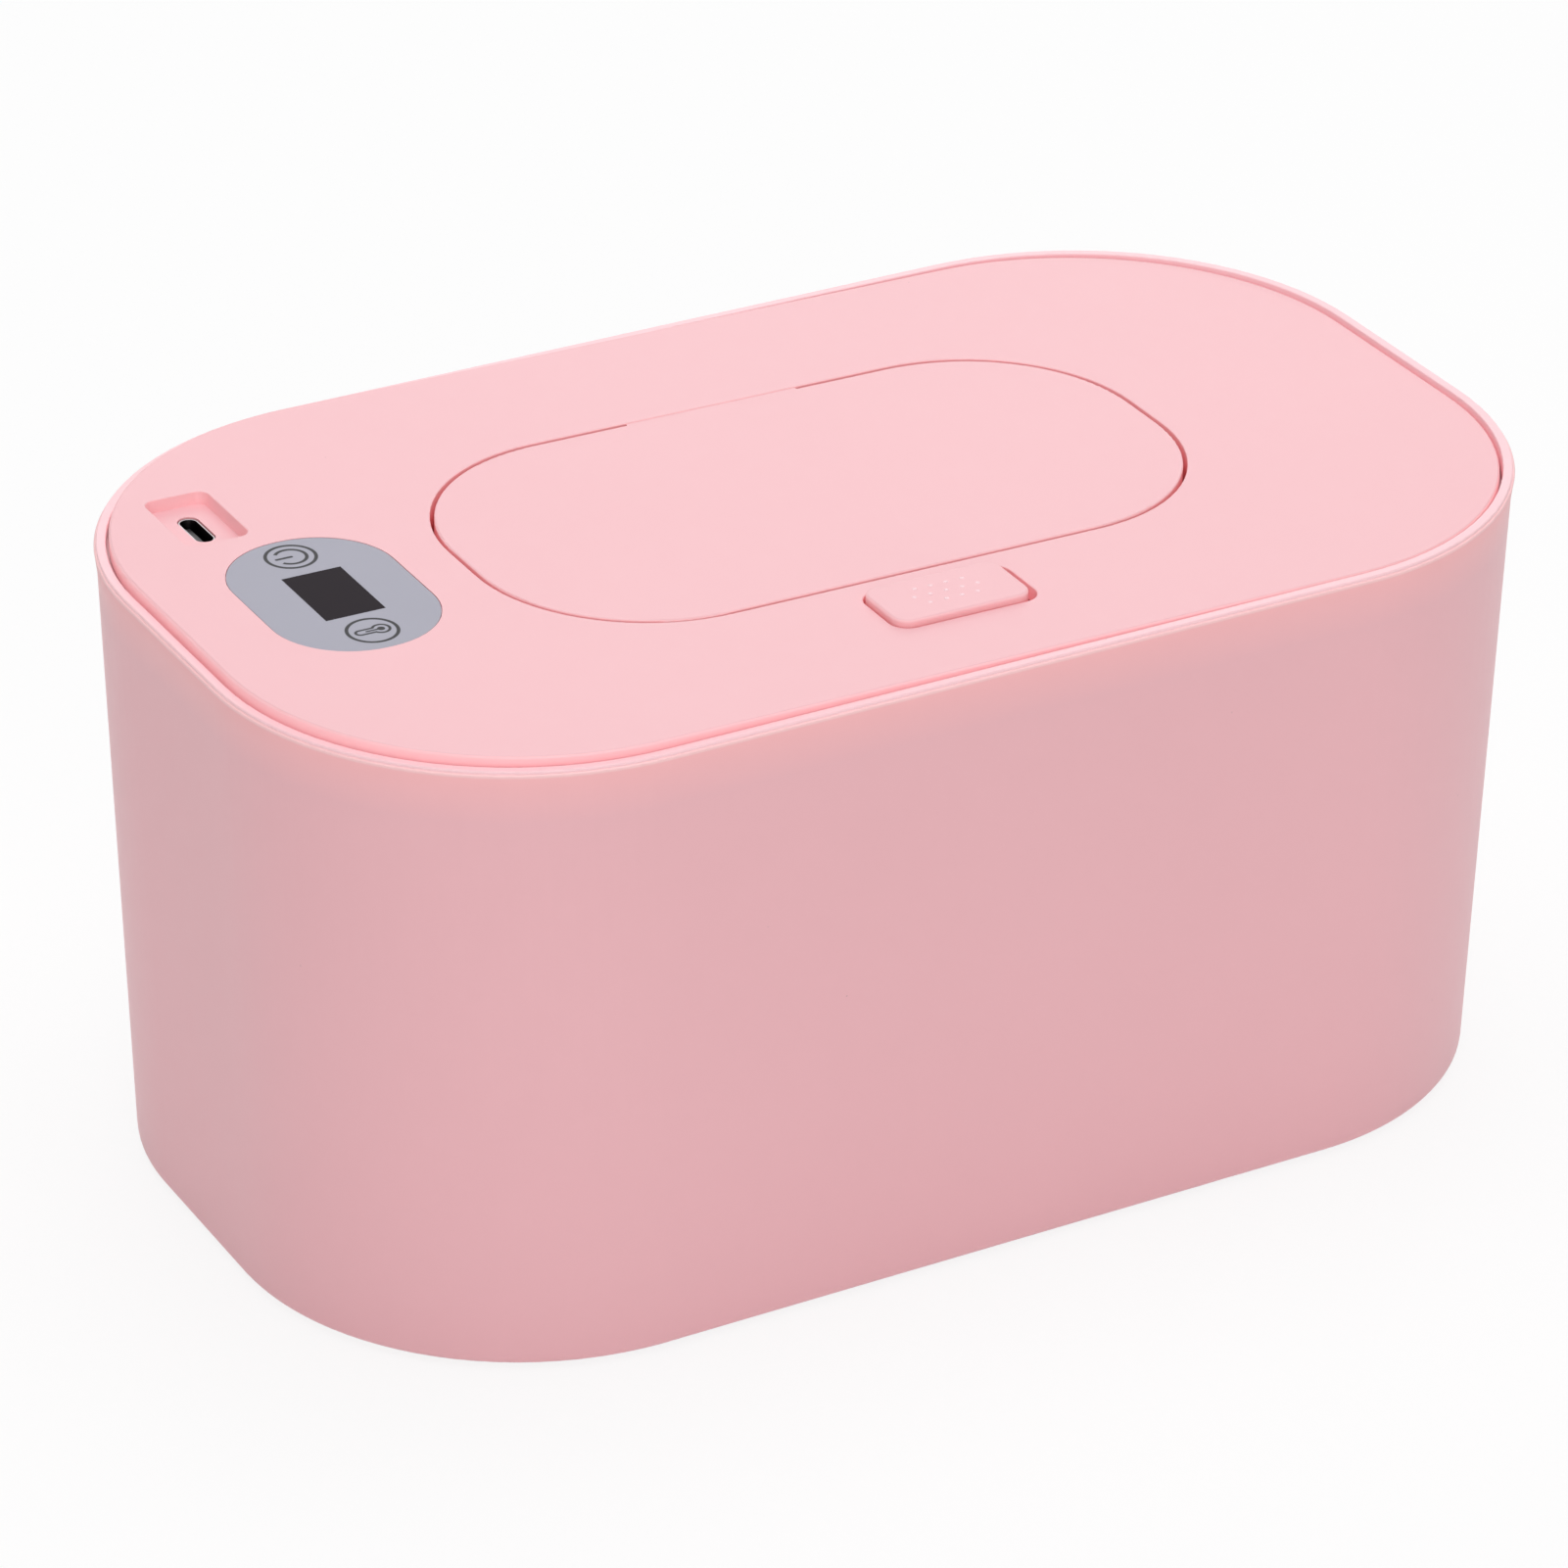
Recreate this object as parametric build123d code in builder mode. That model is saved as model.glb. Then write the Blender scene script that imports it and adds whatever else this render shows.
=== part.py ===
"""Baby wipe warmer with a lift-off heated cover, a flip lid and a push-button latch.

Millimetres, +Z up.  The origin is the centre of the footprint on the table, X runs along the
body (controls at the -X end) and the latch button is on the -Y side.

The tub stands square on the table.  The deck, which is the top face of the cover, falls by
less than a degree from the control end to the other end, so everything in the cover is drawn
on planes parallel to the deck, and the tub's ledge is cut parallel to it as well.
"""

import os
from math import cos, radians, sin

from build123d import *

os.makedirs("parts", exist_ok=True)

# ------------------------------------------------------------------ driving dimensions
# Tub
tub_length = 215.0
tub_width = 129.2
rim_height = 102.0            # top of the rim above the table
corner_radius = 48.5
end_draft = 2.0               # how far each end wall leans in between the rim and the table
side_draft = 2.6
corner_draft = 0.9            # how much the corner radius shrinks on the way down
foot_gap = 0.6                # the shell's floor above the table
shell_wall = 2.2
shell_floor = 2.4
bottom_round = 1.4

# Rim: the liner's lip laps over the shell's thinned top edge
lip_height = 0.45             # part of the lip that shows above the shell's edge
lip_set_back = 0.05           # the lip's outer face behind the shell's
lip_wall = 0.75
lip_outer_round = 0.2
lip_inner_round = 0.2
lap_depth = 5.0
lap_wall = 0.7                # shell wall left in the lap
lap_gap = 0.1
shell_edge_round = 0.55

# Liner and insulation
liner_inset = 6.8             # inner face of the liner, measured from the shell's outer face
liner_wall = 1.6
liner_underside = 8.5
liner_floor = 2.0
liner_floor_round = 5.0
flange_thickness = 2.2
insulation_gap = 0.2

# Feet and screws under the tub
foot_from_end = 37.5          # from the tub's end at the rim to a foot's middle
foot_from_side = 31.6
foot_diameter = 14.0
foot_recess = 1.2
foot_play = 0.15
foot_chamfer = 0.4
boss_diameter = 8.0
screw_shank = 2.8
screw_length = 5.4
screw_head = 5.4
screw_head_height = 0.9
screw_play = 0.2              # around a screw that only passes through
thread_play = 0.05            # around a screw in its own boss, whose threads are not drawn

# Deck and cover
deck_fall = 0.6               # degrees, down towards +X
deck_lift = 0.5               # the deck's centre above the rim
cover_gap = 0.5               # between the rim's lip and the cover's edge
cover_skin = 2.4
cover_edge_round = 0.4
seal_set_back = 0.8           # seal behind the cover's edge
seal_width = 2.4
seal_thickness = 1.2
seal_groove = 0.6
seat_gap = 0.3                # between the seal and the ledge
plug_gap = 0.8                # between the cover's plug and the liner
plug_wall = 1.6
plug_depth = 15.0             # from the deck down to the inner cover
inner_plate = 1.8
inner_plate_set_back = 0.4
locating_rib = 1.2
locating_rib_height = 2.0
rib_gap = 0.15

# Lid, its well and its hinge
lid_from_control_end = 48.35   # from the tub's ends at the rim to the lid opening
lid_from_far_end = 47.65
lid_y = 0.88
lid_opening_width = 65.25
lid_opening_radius = 28.0
lid_gap = 0.65
lid_plate = 2.2
lid_skirt_wall = 1.5
lid_skirt_depth = 4.4
lid_edge_round = 0.3
opening_edge_round = 0.2
well_wall = 1.8
well_depth = 8.0
well_floor = 1.8
web_length = 30.0
web_thickness = 0.4
web_depth = 0.15              # top of the hinge web below the deck

# Dispensing opening and its silicone parts
dispense_length = 70.0
dispense_width = 34.0
collar_wall = 2.0
collar_gap = 0.3              # between the collar and the lid's gasket
gasket_width = 3.2
gasket_thickness = 2.4
gasket_rib = 1.2
gasket_rib_height = 1.6
orifice_grip = 1.0            # how far the membrane reaches under the cover's floor
orifice_seat = 0.6            # how far the chimney's ledge reaches into the opening
orifice_gap = 0.2
orifice_thickness = 1.6
orifice_slot_length = 44.0
orifice_slot_width = 9.0
orifice_slit = 0.8
orifice_slit_length = 22.0
orifice_slit_pitch = 8.0
orifice_slit_count = 5
chimney_wall = 1.6

# Latch: button, lever, pin and spring
button_hole_x = 0.08
button_x = -0.47              # the cap sits a little to the left in its hole
button_set_back = 9.7         # from the lid opening's front edge to the button's middle
button_length = 23.0
button_depth = 12.3
button_radius = 2.7
button_proud = 1.0
button_round = 0.5
button_wall = 1.6
button_side_gap = 0.9
button_end_gap = 0.35
button_flange = 1.4           # how far the flange reaches under the cover's skin
button_flange_thickness = 1.2
post_set_back = 8.3
post_thickness = 1.2
post_half_width = 2.0
lever_half_width = 5.2
pivot_set_back = 2.0
lever_pivot_depth = 12.0
lever_hub_radius = 2.2
lever_arm_length = 9.0        # from the pin to the arm's tip
lever_arm_depth = 9.2
lever_thickness = 1.8
lever_nose_height = 1.2
latch_engagement = 0.75       # how far the nose reaches over the lid's striker
latch_gap = 0.3
striker_height = 1.5
striker_set_back = 0.3        # striker behind the face of the lid's skirt
striker_side_wall = 1.5
pin_diameter = 2.0
pin_play = 0.06
ear_wall = 1.6
ear_gap = 0.4
spring_set_back = 9.3
spring_diameter = 4.4
spring_wire = 0.5
spring_turns = 3.0
spring_play = 0.1
spring_pin = 2.8
spring_pin_height = 1.4

# Control panel
panel_from_end = 26.95        # from the tub's end at the rim to the panel's middle
panel_y = 0.8
overlay_width = 26.0
overlay_length = 38.6
overlay_radius = 12.6
overlay_thickness = 0.4
overlay_recess = 0.45
overlay_gap = 0.12
display_width = 9.7
display_length = 15.4
display_play = 0.3            # around the display module and the window's raised part
window_flange = 1.0
window_thickness = 1.05
window_play = 0.1
key_spread = 13.7             # from the display's centre to each key
key_diameter = 8.0
key_play = 0.4
key_thickness = 1.6
key_stem = 3.0
key_gap = 0.3                 # above the key, under the overlay, and below it, over the switch
switch_stem = 0.9

# USB-C inlet, standing upright in its pocket
inlet_from_end = 19.55
inlet_from_side = 31.6
pocket_width = 10.4
pocket_length = 17.1
pocket_radius = 1.8
pocket_depth = 1.9
pocket_floor = 1.6
pocket_wall = 1.8
pocket_slope = 12.0           # degrees
inlet_length = 8.94
inlet_width = 3.26
inlet_wall = 0.3
inlet_play = 0.1
inlet_set_back = 0.8          # the inlet's mouth below the pocket's floor
inlet_base = 1.2
tongue_width = 6.7
tongue_thickness = 0.7
tongue_set_back = 0.6

# Circuit board
board_depth = 9.0
board_thickness = 1.6
board_from_end = 11.5
board_from_side = 25.6
board_length = 33.4
board_margin = 0.6
board_screw_x = 3.4           # from the board's ends to its screws
board_screw_y = 8.0           # from the board's sides to two of them, and from the middle to the third
switch_size = 6.0
switch_height = 3.5
post_diameter = 5.0
board_shank = 2.0
board_head = 3.8
board_head_height = 1.3
board_screw_length = 6.0
connector_length = 9.0
connector_width = 4.0
connector_height = 3.0
connector_from_end = 3.9      # from the board's inner end
connector_y = 12.0

# Heater under the inner cover
heater_from_end = 32.5        # from the tub's end at the rim
heater_from_side = 25.6
heater_radius = 28.0
heater_margin = 4.0           # from the dispensing opening to the heater
heater_pad = 1.0
heater_film = 0.3
heater_plate = 0.8
heater_frame = 1.4
heater_frame_gap = 0.3
tail_width = 8.0
tail_gap = 0.4
sensor_from_end = 15.0        # from the heater's end
sensor_spread = 16.0          # thermistor and thermal fuse either side of the middle
sensor_diameter = 3.0
sensor_length = 9.0
sensor_play = 0.5

# Screws that hold the inner cover
cover_screw_x = 52.0          # four screws beside the heater
cover_screw_side = 5.0        # from the heater's side to those screws
cover_screw_end = 11.0        # from the heater's end to the other two
cover_screw_y = 18.0
cover_boss = 6.0
cover_shank = 2.4
cover_head = 4.8
cover_head_height = 1.4
cover_screw_length = 9.0
hole_tip = 0.4                # a pilot hole's depth beyond its screw

# ------------------------------------------------------------------ worked-out values
foot_x = tub_length / 2 - foot_from_end
foot_y = tub_width / 2 - foot_from_side
lid_opening_length = tub_length - lid_from_control_end - lid_from_far_end
lid_x = (lid_from_control_end - lid_from_far_end) / 2
panel_x = panel_from_end - tub_length / 2
inlet_x = inlet_from_end - tub_length / 2
inlet_y = tub_width / 2 - inlet_from_side
board_left = board_from_end - tub_length / 2
board_right = board_left + board_length
board_half_width = tub_width / 2 - board_from_side
connector_x = board_right - connector_from_end
heater_length = tub_length - 2 * heater_from_end
heater_width = tub_width - 2 * heater_from_side
heater_screw_x = heater_length / 2 + cover_screw_end
heater_screw_y = heater_width / 2 + cover_screw_side
sensor_x = sensor_from_end - heater_length / 2
deck_height = rim_height + deck_lift
shell_top = rim_height - lip_height
lap_bottom = shell_top - lap_depth
shell_inside = foot_gap + shell_floor
cover_inset = lap_wall + lap_gap + lip_wall + cover_gap
ledge_depth = cover_skin + seal_thickness - seal_groove + seat_gap
seal_inset = cover_inset + seal_set_back
plug_inset = liner_inset + plug_gap
inner_bottom = plug_depth + inner_plate
collar_top = lid_plate + gasket_thickness + collar_gap
well_bottom = well_depth + well_floor
board_bottom = board_depth + board_thickness
window_bottom = overlay_recess + window_thickness
opening_front = lid_y - lid_opening_width / 2
button_y = opening_front - button_set_back
post_y = opening_front - post_set_back
lever_pivot_y = opening_front - pivot_set_back
spring_y = opening_front - spring_set_back
lid_front = opening_front + lid_gap
striker_front = lid_front + striker_set_back
striker_bottom = well_depth - latch_gap
striker_top = striker_bottom - striker_height
nose_bottom = striker_top - latch_gap
nose_top = nose_bottom - lever_nose_height
nose_tip = striker_front + latch_engagement
striker_window_top = nose_top - latch_gap - striker_set_back
lever_back = lever_pivot_y + lever_thickness / 2
flange_bottom = cover_skin + latch_gap + button_flange_thickness
gasket_inner_growth = (collar_wall - gasket_width) / 2
ear_x = lever_half_width + ear_gap + ear_wall / 2
ear_front = button_y + button_depth / 2 + button_end_gap
ear_length = opening_front - ear_front
ear_middle_y = ear_front + ear_length / 2
rear_notch = ear_x + ear_wall / 2 + ear_gap
pad_top = inner_bottom
film_top = pad_top + heater_pad
plate_top = film_top + heater_film
heater_bottom = plate_top + heater_plate

deck = Plane(
    origin=(0, 0, deck_height),
    x_dir=(cos(radians(deck_fall)), 0, -sin(radians(deck_fall))),
    z_dir=(sin(radians(deck_fall)), 0, cos(radians(deck_fall))),
)
ledge = deck.offset(-ledge_depth)
section = Plane(origin=deck.origin, x_dir=(0, 1, 0), z_dir=deck.x_dir)   # across the body, Y by height

foot_places = [(x, y) for x in (-foot_x, foot_x) for y in (-foot_y, foot_y)]
cover_screw_places = [
    (x, y) for x in (-cover_screw_x, cover_screw_x) for y in (-heater_screw_y, heater_screw_y)
] + [(heater_screw_x, y) for y in (-cover_screw_y, cover_screw_y)]
board_screw_places = [
    (board_right - board_screw_x, board_half_width - board_screw_y),
    (board_right - board_screw_x, board_screw_y - board_half_width),
    (board_left + board_screw_x, -board_screw_y),
]
key_places = [(panel_x, panel_y - key_spread), (panel_x, panel_y + key_spread)]


def below(depth):
    """Plane parallel to the deck, depth millimetres under it."""
    return deck.offset(-depth)


def tub_outline(height, inset=0.0):
    """Draw the tub's outline at a height above the table, moved inwards by inset."""
    drop = (rim_height - height) / rim_height
    RectangleRounded(
        tub_length - 2 * (end_draft * drop + inset),
        tub_width - 2 * (side_draft * drop + inset),
        corner_radius - corner_draft * drop - inset,
    )


def tub_body(bottom, top, inset, mode=Mode.ADD):
    """Add or remove the drafted body between two heights, its faces moved inwards by inset."""
    sections = []
    for height in (bottom, top):
        with BuildSketch(Plane.XY.offset(height), mode=Mode.PRIVATE) as outline:
            tub_outline(height, inset)
        sections.append(outline.sketch)
    loft(sections, ruled=True, mode=mode)


def cover_outline(inset, mode=Mode.ADD):
    """Draw the rim's outline moved inwards by inset."""
    RectangleRounded(tub_length - 2 * inset, tub_width - 2 * inset, corner_radius - inset, mode=mode)


def lid_outline(growth, mode=Mode.ADD):
    """Draw the lid opening's outline, grown all round."""
    with Locations((lid_x, lid_y)):
        RectangleRounded(
            lid_opening_length + 2 * growth,
            lid_opening_width + 2 * growth,
            lid_opening_radius + growth,
            mode=mode,
        )


def oval(growth, mode=Mode.ADD):
    """Draw the dispensing opening's oval, grown all round."""
    with Locations((lid_x, lid_y)):
        SlotOverall(dispense_length + 2 * growth, dispense_width + 2 * growth, mode=mode)


def heater_outline(growth):
    """Draw the heater's outline, grown all round, with its hole around the dispensing opening."""
    RectangleRounded(heater_length + 2 * growth, heater_width + 2 * growth, heater_radius + growth)
    oval(heater_margin, mode=Mode.SUBTRACT)


def discs(places, diameter):
    """Draw one disc at each place."""
    with Locations(*places):
        Circle(diameter / 2)


def top_face(piece):
    """The highest of the faces that are parallel to the deck."""
    return piece.faces().filter_by(deck).sort_by(Axis.Z)[-1]


def finish(piece, name):
    """Label a finished piece and write its STEP file."""
    piece.part.label = name
    export_step(piece.part, f"parts/{name}.step")


# ------------------------------------------------------------------ outer shell
with BuildPart() as outer_shell:
    tub_body(foot_gap, shell_top, 0)
    fillet(outer_shell.faces().sort_by(Axis.Z)[0].edges(), bottom_round)
    fillet(outer_shell.faces().sort_by(Axis.Z)[-1].edges(), shell_edge_round)
    tub_body(shell_inside, shell_top, shell_wall, mode=Mode.SUBTRACT)
    with BuildSketch(Plane.XY.offset(lap_bottom)):
        tub_outline(rim_height, lap_wall)
    extrude(amount=lap_depth, mode=Mode.SUBTRACT)
    with BuildSketch(Plane.XY.offset(foot_gap)):
        discs(foot_places, foot_diameter + 2 * foot_play)
    extrude(amount=foot_recess, mode=Mode.SUBTRACT)
    with BuildSketch(Plane.XY.offset(foot_gap)):
        discs(foot_places, screw_shank + 2 * screw_play)
    extrude(amount=shell_floor, mode=Mode.SUBTRACT)
finish(outer_shell, "outer_shell")

# ------------------------------------------------------------------ inner liner
# Room for the cover: a straight-sided block, cut off along the ledge plane.
with BuildPart() as cover_room:
    with BuildSketch(Plane.XY.offset(lap_bottom)):
        tub_outline(rim_height, lap_wall + lap_gap + lip_wall)
    extrude(amount=2 * lap_depth)
    split(bisect_by=ledge, keep=Keep.TOP)

# Hollow under the flange, between the lip and the liner's wall.
with BuildPart() as flange_hollow:
    with BuildSketch(Plane.XY.offset(lap_bottom)):
        tub_outline(rim_height, shell_wall)
    extrude(amount=2 * lap_depth)
    with BuildSketch(Plane.XY.offset(lap_bottom)):
        tub_outline(lap_bottom, liner_inset - liner_wall)
    extrude(amount=2 * lap_depth, mode=Mode.SUBTRACT)
    split(bisect_by=ledge.offset(-flange_thickness), keep=Keep.BOTTOM)

with BuildPart() as inner_liner:
    with BuildSketch(Plane.XY.offset(lap_bottom)):
        tub_outline(rim_height, lap_wall + lap_gap)
    extrude(amount=lap_depth)
    add(flange_hollow.part, mode=Mode.SUBTRACT)
    with BuildSketch(Plane.XY.offset(shell_top)):
        tub_outline(rim_height, lip_set_back)
    extrude(amount=lip_height)
    tub_body(liner_underside, shell_top, liner_inset - liner_wall)
    add(cover_room.part, mode=Mode.SUBTRACT)
    tub_body(liner_underside + liner_floor, rim_height, liner_inset, mode=Mode.SUBTRACT)
    floor_edges = inner_liner.edges().filter_by_position(
        Axis.Z, liner_underside + liner_floor - 0.01, liner_underside + liner_floor + 0.01
    )
    fillet(floor_edges, liner_floor_round)
    fillet(inner_liner.faces().sort_by(Axis.Z)[-1].outer_wire().edges(), lip_outer_round)
    fillet(inner_liner.faces().sort_by(Axis.Z)[-1].inner_wires()[0].edges(), lip_inner_round)
    with BuildSketch(Plane.XY.offset(shell_inside)):
        discs(foot_places, boss_diameter)
        with Locations(*foot_places):
            Circle(screw_shank / 2 + thread_play, mode=Mode.SUBTRACT)
    extrude(amount=liner_underside - shell_inside)
finish(inner_liner, "inner_liner")

# ------------------------------------------------------------------ insulation between the walls
with BuildPart() as insulation_sleeve:
    tub_body(shell_inside, lap_bottom - insulation_gap, shell_wall + insulation_gap)
    tub_body(
        shell_inside,
        lap_bottom - insulation_gap,
        liner_inset - liner_wall - insulation_gap,
        mode=Mode.SUBTRACT,
    )
finish(insulation_sleeve, "insulation_sleeve")

# ------------------------------------------------------------------ screws and feet under the tub
with BuildPart() as base_screws:
    with BuildSketch(Plane.XY.offset(foot_gap + foot_recess)):
        discs(foot_places, screw_head)
    extrude(amount=-screw_head_height)
    with BuildSketch(Plane.XY.offset(foot_gap + foot_recess)):
        discs(foot_places, screw_shank)
    extrude(amount=screw_length)
finish(base_screws, "base_screws")

with BuildPart() as rubber_feet:
    with BuildSketch():
        discs(foot_places, foot_diameter)
    extrude(amount=foot_gap + foot_recess)
    chamfer(rubber_feet.faces().group_by(Axis.Z)[0].edges(), foot_chamfer)
    with BuildSketch(Plane.XY.offset(foot_gap + foot_recess)):
        discs(foot_places, screw_head + 2 * screw_play)
    extrude(amount=-screw_head_height, mode=Mode.SUBTRACT)
finish(rubber_feet, "rubber_feet")

# ------------------------------------------------------------------ top cover
with BuildPart() as top_cover:
    with BuildSketch(deck):
        cover_outline(cover_inset)
    extrude(amount=-cover_skin)
    fillet(top_face(top_cover).edges(), cover_edge_round)
    # Plug that drops into the liner, the lid's well, screw bosses and posts for the board
    with BuildSketch(below(cover_skin)):
        cover_outline(plug_inset)
        cover_outline(plug_inset + plug_wall, mode=Mode.SUBTRACT)
        discs(cover_screw_places, cover_boss)
    extrude(amount=-(plug_depth - cover_skin))
    with BuildSketch(below(cover_skin)):
        lid_outline(well_wall)
    extrude(amount=-(well_bottom - cover_skin))
    with BuildSketch(below(cover_skin)):
        discs(board_screw_places, post_diameter)
    extrude(amount=-(board_depth - cover_skin))
    # Ears that carry the lever's pin
    with BuildSketch(below(cover_skin)):
        with Locations((ear_x, ear_middle_y), (-ear_x, ear_middle_y)):
            Rectangle(ear_wall, ear_length)
    extrude(amount=-(lever_pivot_depth + lever_hub_radius - cover_skin))
    # Pad under the inlet's pocket
    with BuildSketch(below(cover_skin)):
        with Locations((inlet_x, inlet_y)):
            RectangleRounded(
                pocket_width + 2 * pocket_wall,
                pocket_length + 2 * pocket_wall,
                pocket_radius + pocket_wall,
            )
        cover_outline(plug_inset, mode=Mode.INTERSECT)
    extrude(amount=-(pocket_depth + pocket_floor - cover_skin))
    # The inlet's pocket with sloping walls, the well, the button's hole, the collar and the opening
    with BuildSketch(deck):
        lid_outline(0)
    extrude(amount=-well_depth, mode=Mode.SUBTRACT)
    with BuildSketch(deck):
        with Locations((button_hole_x, button_y)):
            RectangleRounded(
                button_length + 2 * button_side_gap,
                button_depth + 2 * button_end_gap,
                button_radius + button_end_gap,
            )
    extrude(amount=-cover_skin, mode=Mode.SUBTRACT)
    with BuildSketch(deck):
        with Locations((inlet_x, inlet_y)):
            RectangleRounded(pocket_width, pocket_length, pocket_radius)
    extrude(amount=-pocket_depth, taper=pocket_slope, mode=Mode.SUBTRACT)
    hole_edges = [edge for wire in top_face(top_cover).inner_wires() for edge in wire.edges()]
    fillet(hole_edges, opening_edge_round)
    with BuildSketch(below(well_depth)):
        oval(collar_wall)
    extrude(amount=well_depth - collar_top)
    with BuildSketch(deck):
        oval(0)
    extrude(amount=-well_bottom, mode=Mode.SUBTRACT)
    # Groove for the seal
    with BuildSketch(below(cover_skin)):
        cover_outline(seal_inset)
        cover_outline(seal_inset + seal_width, mode=Mode.SUBTRACT)
    extrude(amount=seal_groove, mode=Mode.SUBTRACT)
    # The inlet's slot in the pocket's floor
    with BuildSketch(deck):
        with Locations((inlet_x, inlet_y)):
            SlotOverall(inlet_length + 2 * inlet_play, inlet_width + 2 * inlet_play, rotation=90)
    extrude(amount=-(pocket_depth + pocket_floor), mode=Mode.SUBTRACT)
    # Control panel: recess for the overlay, rebate for the window, holes for display and keys
    with BuildSketch(deck):
        with Locations((panel_x, panel_y)):
            RectangleRounded(
                overlay_width + 2 * overlay_gap,
                overlay_length + 2 * overlay_gap,
                overlay_radius + overlay_gap,
            )
    extrude(amount=-overlay_recess, mode=Mode.SUBTRACT)
    with BuildSketch(deck):
        with Locations((panel_x, panel_y)):
            Rectangle(
                display_width + 2 * (window_flange + window_play),
                display_length + 2 * (window_flange + window_play),
            )
    extrude(amount=-window_bottom, mode=Mode.SUBTRACT)
    with BuildSketch(deck):
        with Locations((panel_x, panel_y)):
            Rectangle(display_width + 2 * display_play, display_length + 2 * display_play)
        discs(key_places, key_diameter + 2 * key_play)
    extrude(amount=-cover_skin, mode=Mode.SUBTRACT)
    # Latch: the lever's window in the well's wall, and the pin's bore
    with BuildSketch(below(well_bottom)):
        with Locations((0, opening_front - well_wall / 2)):
            Rectangle(2 * (lever_half_width + ear_gap), well_wall)
    extrude(amount=well_bottom - cover_skin, mode=Mode.SUBTRACT)
    with BuildSketch(section.offset(-ear_x - ear_wall)):
        with Locations((lever_pivot_y, -lever_pivot_depth)):
            Circle(pin_diameter / 2)
    extrude(amount=2 * (ear_x + ear_wall), mode=Mode.SUBTRACT)
    # Pilot holes for the screws
    with BuildSketch(below(plug_depth)):
        discs(cover_screw_places, cover_shank + 2 * thread_play)
    extrude(amount=cover_screw_length - inner_plate + hole_tip, mode=Mode.SUBTRACT)
    with BuildSketch(below(board_depth)):
        discs(board_screw_places, board_shank + 2 * thread_play)
    extrude(amount=board_screw_length - board_thickness + hole_tip, mode=Mode.SUBTRACT)
finish(top_cover, "top_cover")

# ------------------------------------------------------------------ cover seal
with BuildPart() as cover_seal:
    with BuildSketch(below(cover_skin - seal_groove)):
        cover_outline(seal_inset)
        cover_outline(seal_inset + seal_width, mode=Mode.SUBTRACT)
    extrude(amount=-seal_thickness)
finish(cover_seal, "cover_seal")

# ------------------------------------------------------------------ inner cover
with BuildPart() as inner_cover:
    with BuildSketch(below(plug_depth)):
        cover_outline(plug_inset + inner_plate_set_back)
    extrude(amount=-inner_plate)
    # Rib that locates the plate inside the plug, notched round the pieces beside it
    with BuildSketch(below(plug_depth)):
        cover_outline(plug_inset + plug_wall + rib_gap)
        cover_outline(plug_inset + plug_wall + rib_gap + locating_rib, mode=Mode.SUBTRACT)
    extrude(amount=locating_rib_height)
    # Chimney round the dispensing opening, with a ledge for the membrane
    with BuildSketch(below(plug_depth)):
        oval(orifice_grip + orifice_gap + chimney_wall)
    extrude(amount=plug_depth - well_bottom)
    with BuildSketch(below(well_bottom)):
        oval(orifice_grip + orifice_gap)
    extrude(amount=-orifice_thickness, mode=Mode.SUBTRACT)
    with BuildSketch(below(well_bottom)):
        oval(-orifice_seat)
    extrude(amount=-(inner_bottom - well_bottom), mode=Mode.SUBTRACT)
    # Frame round the heater, and the pin that centres the latch spring
    with BuildSketch(below(inner_bottom)):
        RectangleRounded(
            heater_length + 2 * (heater_frame_gap + heater_frame),
            heater_width + 2 * (heater_frame_gap + heater_frame),
            heater_radius + heater_frame_gap + heater_frame,
        )
        RectangleRounded(
            heater_length + 2 * heater_frame_gap,
            heater_width + 2 * heater_frame_gap,
            heater_radius + heater_frame_gap,
            mode=Mode.SUBTRACT,
        )
    extrude(amount=-(heater_bottom - inner_bottom))
    with BuildSketch(below(plug_depth)):
        discs([(0, spring_y)], spring_pin)
    extrude(amount=spring_pin_height)
    # Screw holes, pockets for the thermistor and the fuse, and the heater tail's slot
    with BuildSketch(below(inner_bottom)):
        discs(cover_screw_places, cover_shank + 2 * screw_play)
        with Locations((sensor_x, sensor_spread), (sensor_x, -sensor_spread)):
            Rectangle(sensor_diameter + 2 * sensor_play, sensor_length + 2 * sensor_play)
        with Locations((connector_x, connector_y)):
            Rectangle(heater_film + 2 * tail_gap, tail_width + 2 * tail_gap)
    extrude(amount=inner_plate, mode=Mode.SUBTRACT)
finish(inner_cover, "inner_cover")

# ------------------------------------------------------------------ screws of the inner cover
with BuildPart() as cover_screws:
    with BuildSketch(below(inner_bottom)):
        discs(cover_screw_places, cover_head)
    extrude(amount=-cover_head_height)
    with BuildSketch(below(inner_bottom)):
        discs(cover_screw_places, cover_shank)
    extrude(amount=cover_screw_length)
finish(cover_screws, "cover_screws")

# ------------------------------------------------------------------ silicone membrane
with BuildPart() as orifice_membrane:
    with BuildSketch(below(well_bottom)):
        oval(orifice_grip)
        with Locations((lid_x, lid_y)):
            SlotOverall(orifice_slot_length, orifice_slot_width, mode=Mode.SUBTRACT)
            with GridLocations(orifice_slit_pitch, 1, orifice_slit_count, 1):
                Rectangle(orifice_slit, orifice_slit_length, mode=Mode.SUBTRACT)
    extrude(amount=-orifice_thickness)
finish(orifice_membrane, "orifice_membrane")

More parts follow.
